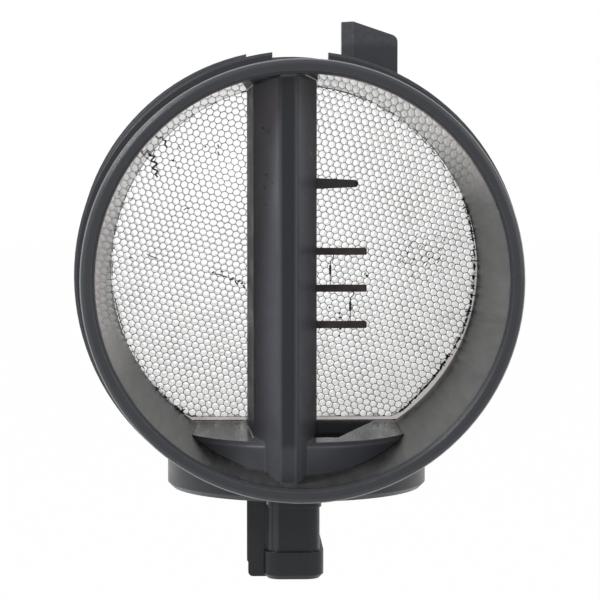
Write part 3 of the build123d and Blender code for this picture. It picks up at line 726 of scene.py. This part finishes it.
verts, faces = [], []
for a, b in boundary:
    if (a - b).length > 1e-4:
        corners = band_corners(a, b, SEAT_Y + BAND_SINK, SEAT_Y + DEPTH - BAND_SINK)
        add_box(verts, faces, corners, sides=(2,))
# one strip closes the band along the sheet's lower edge
corners = []
for top_y, low_y in ((STRIP_TOP[1], STRIP_LOW[1]), (SEAT_Y + STRIP_BACK, SEAT_Y + STRIP_BACK)):
    corners += [(-STRIP_HALF, top_y, STRIP_TOP[0]), (-STRIP_HALF, low_y, STRIP_LOW[0]),
                (STRIP_HALF, low_y, STRIP_LOW[0]), (STRIP_HALF, top_y, STRIP_TOP[0])]
add_box(verts, faces, corners)
# and an arc closes it round the right-hand side
rays = [Vector((math.cos(math.radians(angle)), math.sin(math.radians(angle))))
        for angle in ARC_ANGLES]
edges = [ray * cut_radius(ray) for ray in rays]
for a, b in zip(edges, edges[1:]):
    add_box(verts, faces, band_corners(a, b, SEAT_Y + BAND_SINK + ARC_SINK,
                                       SEAT_Y + BAND_SINK + STRIP_BACK))
make_piece("honeycomb_rim", verts, faces, [foil_rim], "flow_straightener")

# ---------------------------------------------------------------- dark slivers on the cells
# Dark places of the sheet: lines through places in the picture, with a width in millimetres.
DARK_PATHS = [
    ([(150, 156), (155.6, 156.6), (151.5, 161), (158, 164), (152.5, 168.6), (158.4, 171),
      (156, 174.5), (158.2, 177.5)], 0.24),
    ([(160.5, 140.2), (167, 141), (165.6, 145), (168.2, 147.8)], 0.17),
    ([(172, 160.2), (174.6, 161.8)], 0.2),
    ([(179.4, 146.4), (181.4, 149.6)], 0.15),
    ([(178, 167), (180.6, 168.8)], 0.14),
    ([(205, 147.8), (206.6, 146.6)], 0.2),
    ([(218, 145), (219.4, 148)], 0.2),
    ([(218, 152), (219.6, 155)], 0.18),
    ([(184, 210.4), (186.6, 208.2), (190, 208.6)], 0.14),
    ([(134, 198), (131, 201)], 0.14),
    ([(129.6, 256.8), (133, 258)], 0.14),
    ([(147, 254), (152, 256.4), (158, 258.6)], 0.13),
    ([(212, 273.4), (214.4, 271.6)], 0.2),
    ([(214.4, 274), (220, 274.4), (222.6, 276), (226.6, 276.8)], 0.13),
    ([(221, 272.6), (221.8, 270.8)], 0.2),
    ([(229.4, 279.8), (231.4, 279.2), (233.9, 277.6)], 0.24),
    ([(235.2, 280.4), (236, 283), (238, 284.6)], 0.2),
    ([(237.2, 281.6), (240.6, 280.3)], 0.2),
    ([(241, 284), (242.9, 282.6)], 0.28),
    ([(243, 285.2), (244, 286.4), (245, 288.6)], 0.2),
    ([(364.4, 274.8), (366, 272.8)], 0.14),
    ([(365.8, 275.4), (368.4, 276.8)], 0.3),
    ([(338.8, 313.2), (340, 314.6)], 0.22),
    ([(339, 318.2), (341.4, 317.4)], 0.24),
    ([(339.6, 330), (341.6, 327.4)], 0.26),
    ([(338.8, 335.6), (340, 336.6)], 0.24),
    ([(329, 307), (330.6, 308.4)], 0.2),
    ([(350, 309), (353, 307.6)], 0.12),
]
DARK_PATH_WIDEN = 1.5
LEANING_DASHES = 46                     # a field of small dark dashes, all leaning the same way
DASH_FIELD_PX = (427, 258)
DASH_REACH_PX = (30, 26)
DASH_LEAN = Vector((0.45, 0.62))
# Dark dashes along the cut edge, the first row that holds the angle in degrees: dashes on each
# side of a cell, the chance of each, least and greatest width, chance of a tick across them.
EDGE_DASHES = (
    (-64, 24, 2, 0.75, (0.14, 0.38), 0.9),
    (-140, -118, 1, 0.6, (0.12, 0.24), 0.4),
    (0, 181, 1, 0.25, (0.06, 0.12), 0.0),
    (-181, 181, 1, 0.08, (0.06, 0.12), 0.0),
)
SHORTEST_SIDE = 0.05
DASH_FLOOR_GAP = 0.3           # dashes and ticks keep off the sheet's lower edge
TICK_FLOOR_GAP = 0.5
PROUD = 0.03                   # how far a sliver stands out of the sheet's face

rng = random.Random(SEED)
verts, faces = [], []


def stroke(a, b, width, depth):
    """A thin dark sliver along one cell wall."""
    d = b - a
    if d.length < 1e-6:
        return
    n = Vector((-d.y, d.x)).normalized() * width / 2
    add_box(verts, faces, [(p.x, y, p.y) for y in (SEAT_Y - PROUD, SEAT_Y + depth)
                           for p in (a - n, b - n, b + n, a + n)])


for path, width in DARK_PATHS:
    for start_px, end_px in zip(path, path[1:]):
        stroke(to_mm(*start_px), to_mm(*end_px), width * DARK_PATH_WIDEN, rng.uniform(0.3, 0.9))
for _ in range(LEANING_DASHES):
    turn, reach = rng.uniform(0, 2 * math.pi), rng.random() ** 0.7
    middle = to_mm(DASH_FIELD_PX[0] + DASH_REACH_PX[0] * reach * math.cos(turn),
                   DASH_FIELD_PX[1] + DASH_REACH_PX[1] * reach * math.sin(turn))
    half = DASH_LEAN * rng.uniform(0.3, 0.65)
    stroke(middle - half, middle + half, rng.uniform(0.07, 0.15), rng.uniform(0.3, 0.6))
for a, b in boundary:
    lowest = min(a.y, b.y)
    if (a - b).length < SHORTEST_SIDE or lowest < SHEET_FLOOR_Z + DASH_FLOOR_GAP:
        continue
    angle = angle_of((a + b) / 2)
    outward = ((a + b) / 2).normalized()
    dashes, chance, width, tick_chance = next(
        row[2:] for row in EDGE_DASHES if row[0] < angle < row[1])
    for _ in range(dashes):
        if rng.random() < chance:
            t0, t1 = rng.uniform(-0.1, 0.45), rng.uniform(0.55, 1.05)
            shift0, shift1 = (outward * rng.uniform(-0.3, 0.16) for _ in range(2))
            stroke(a.lerp(b, t0) + shift0, a.lerp(b, t1) + shift1,
                   rng.uniform(*width), rng.uniform(0.4, 1.2))
    if rng.random() < tick_chance and lowest > SHEET_FLOOR_Z + TICK_FLOOR_GAP:
        turn = Vector((-outward.y, outward.x)) * rng.uniform(-0.35, 0.35)
        tick = (outward + turn).normalized()
        root = a.lerp(b, rng.random())
        stroke(root - tick * rng.uniform(0.2, 1.0), root + tick * rng.uniform(0.1, 0.7),
               rng.uniform(0.14, 0.28), rng.uniform(0.3, 0.6))
make_piece("honeycomb_dark_slivers", verts, faces, [foil_dark_sliver], "flow_straightener")

# ---------------------------------------------------------------- pale slivers along the seams: a painted highlight
# Lines through places in the picture, with a width in millimetres.
SEAM_HIGHLIGHT_LINES = [
    ([(247.6, 89.6), (250.6, 87.0), (254.0, 84.6)], 0.30),
    ([(305.6, 74.6), (311, 77.0), (316.2, 79.6)], 0.32),
    ([(246.2, 421.6), (249.6, 429.6), (252.8, 438.2)], 0.32),
]
HIGHLIGHT_PROUD = 0.05 * MM
HIGHLIGHT_DEPTH = 0.12 * MM
tube_mesh = nodes["flow_tube"].data
tube_tree = BVHTree.FromPolygons([v.co.copy() for v in tube_mesh.vertices],
                                 [tuple(p.vertices) for p in tube_mesh.polygons])


def on_tube(px, py):
    """Point of the tube seen at a place in the picture, and the line of sight to it."""
    ray = (look * FOCAL_PX + right * (px - MIDDLE) - up * (py - MIDDLE)).normalized()
    return tube_tree.ray_cast(eye, ray)[0], ray


verts, faces = [], []
for line, width in SEAM_HIGHLIGHT_LINES:
    places = []
    for (x0, y0), (x1, y1) in zip(line, line[1:]):
        places += [on_tube(x0, y0), on_tube((x0 + x1) / 2, (y0 + y1) / 2)]
    places.append(on_tube(*line[-1]))
    hits = [hit for hit, _ in places]
    if None in hits:
        continue
    base = len(verts)
    for k, (hit, ray) in enumerate(places):
        along = (hits[min(k + 1, len(hits) - 1)] - hits[max(k - 1, 0)]).normalized()
        across = along.cross(ray).normalized() * width / 2 * MM
        front = hit - ray * HIGHLIGHT_PROUD
        back = front + ray * HIGHLIGHT_DEPTH
        verts += [tuple(p) for p in (front - across, front + across, back + across, back - across)]
    faces += bar_faces(base, len(places), 4)
make_piece("seam_painted_highlight", verts, faces, [seam_highlight])

# ---------------------------------------------------------------- clip behind the straightener
CLIP_Y = 71.1                  # middle of the wire along the tube
CLIP_R = 40.45                 # and its distance from the axis
CLIP_HALF = (0.28, 0.8)        # half the wire's thickness and width
CLIP_ENDS = (-51.5, 231.5)     # degrees
CLIP_STEPS = 120
CLIP_BEND = (5.0, 0.9)         # the ends' last degrees are bent inwards this far
CLIP_SECTION = [(-1, -0.6), (-0.6, -1), (0.6, -1), (1, -0.6),
                (1, 0.6), (0.6, 1), (-0.6, 1), (-1, 0.6)]
verts = []
for k in range(CLIP_STEPS + 1):
    angle = CLIP_ENDS[0] + (CLIP_ENDS[1] - CLIP_ENDS[0]) * k / CLIP_STEPS
    from_end = min(angle - CLIP_ENDS[0], CLIP_ENDS[1] - angle)
    bend = max(0.0, 1.0 - from_end / CLIP_BEND[0]) ** 2
    t = math.radians(angle)
    for a, b in CLIP_SECTION:
        r = CLIP_R - CLIP_BEND[1] * bend + CLIP_HALF[0] * a
        y = CLIP_Y + CLIP_HALF[1] * b
        verts.append((r * math.cos(t) * MM, y * MM, r * math.sin(t) * MM))
make_piece("straightener_clip", verts, bar_faces(0, CLIP_STEPS + 1, len(CLIP_SECTION)), [spring],
           "straightener_ring", smooth=True)

# ---------------------------------------------------------------- floor, backdrop light and lamps
GROUND_Z = -0.175              # metres
GROUND_REACH = 6.0
GROUND_GLOW = 0.985            # how white the floor shows to the camera
WHITE = rgb(1, 1, 1)
ROOM_LIGHT = 0.62              # what the white surroundings shed on the part


def seen_directly(tree):
    """1 for what the camera sees straight on, in a mirror or through a clear thing."""
    path = tree.nodes.new("ShaderNodeLightPath")
    seen = math_node(tree, "ADD", path.outputs["Is Camera Ray"], path.outputs["Is Glossy Ray"])
    return math_node(tree, "ADD", seen, path.outputs["Is Transmission Ray"], clamp=True)


def emitter(tree, kind, strength):
    n = tree.nodes.new(kind)
    n.inputs["Color"].default_value = WHITE
    n.inputs["Strength"].default_value = strength
    return n.outputs[0]


def blend_shaders(tree, fac, a, b, target):
    n = tree.nodes.new("ShaderNodeMixShader")
    for value, socket in zip((fac, a, b), n.inputs):
        tree.links.new(value, socket)
    tree.links.new(n.outputs[0], target)


floor_mesh = bpy.data.meshes.new("floor")
floor_mesh.from_pydata([(x * GROUND_REACH, y * GROUND_REACH, GROUND_Z)
                        for x, y in ((-1, -1), (1, -1), (1, 1), (-1, 1))], [], [(0, 1, 2, 3)])
floor = bpy.data.objects.new("floor", floor_mesh)
scene.collection.objects.link(floor)
paper, tree, bsdf, out = new_material("floor_paper")
bsdf.inputs["Base Color"].default_value = rgb(0.86, 0.86, 0.86)
bsdf.inputs["Roughness"].default_value = 0.9
blend_shaders(tree, product(tree, seen_directly(tree), GROUND_GLOW), bsdf.outputs["BSDF"],
              emitter(tree, "ShaderNodeEmission", 1.0), out.inputs["Surface"])
floor_mesh.materials.append(paper)

world = bpy.data.worlds.new("studio")
scene.world = world
world.use_nodes = True
tree = world.node_tree
tree.nodes.clear()
out = tree.nodes.new("ShaderNodeOutputWorld")
blend_shaders(tree, seen_directly(tree), emitter(tree, "ShaderNodeBackground", ROOM_LIGHT),
              emitter(tree, "ShaderNodeBackground", 1.0), out.inputs["Surface"])

LAMP_TARGET = Vector((0, 0.03, 0))
for name, place, size, watts in (("key_left", (-0.75, -0.55, 0.65), 0.5, 9.0),
                                 ("fill_right", (0.8, -0.5, 0.3), 0.6, 2.0)):
    lamp = bpy.data.lights.new(name, "AREA")
    lamp.shape = "RECTANGLE"
    lamp.size = lamp.size_y = size
    lamp.energy = watts
    obj = bpy.data.objects.new(name, lamp)
    scene.collection.objects.link(obj)
    obj.location = place
    obj.rotation_euler = (LAMP_TARGET - Vector(place)).to_track_quat("-Z", "Y").to_euler()
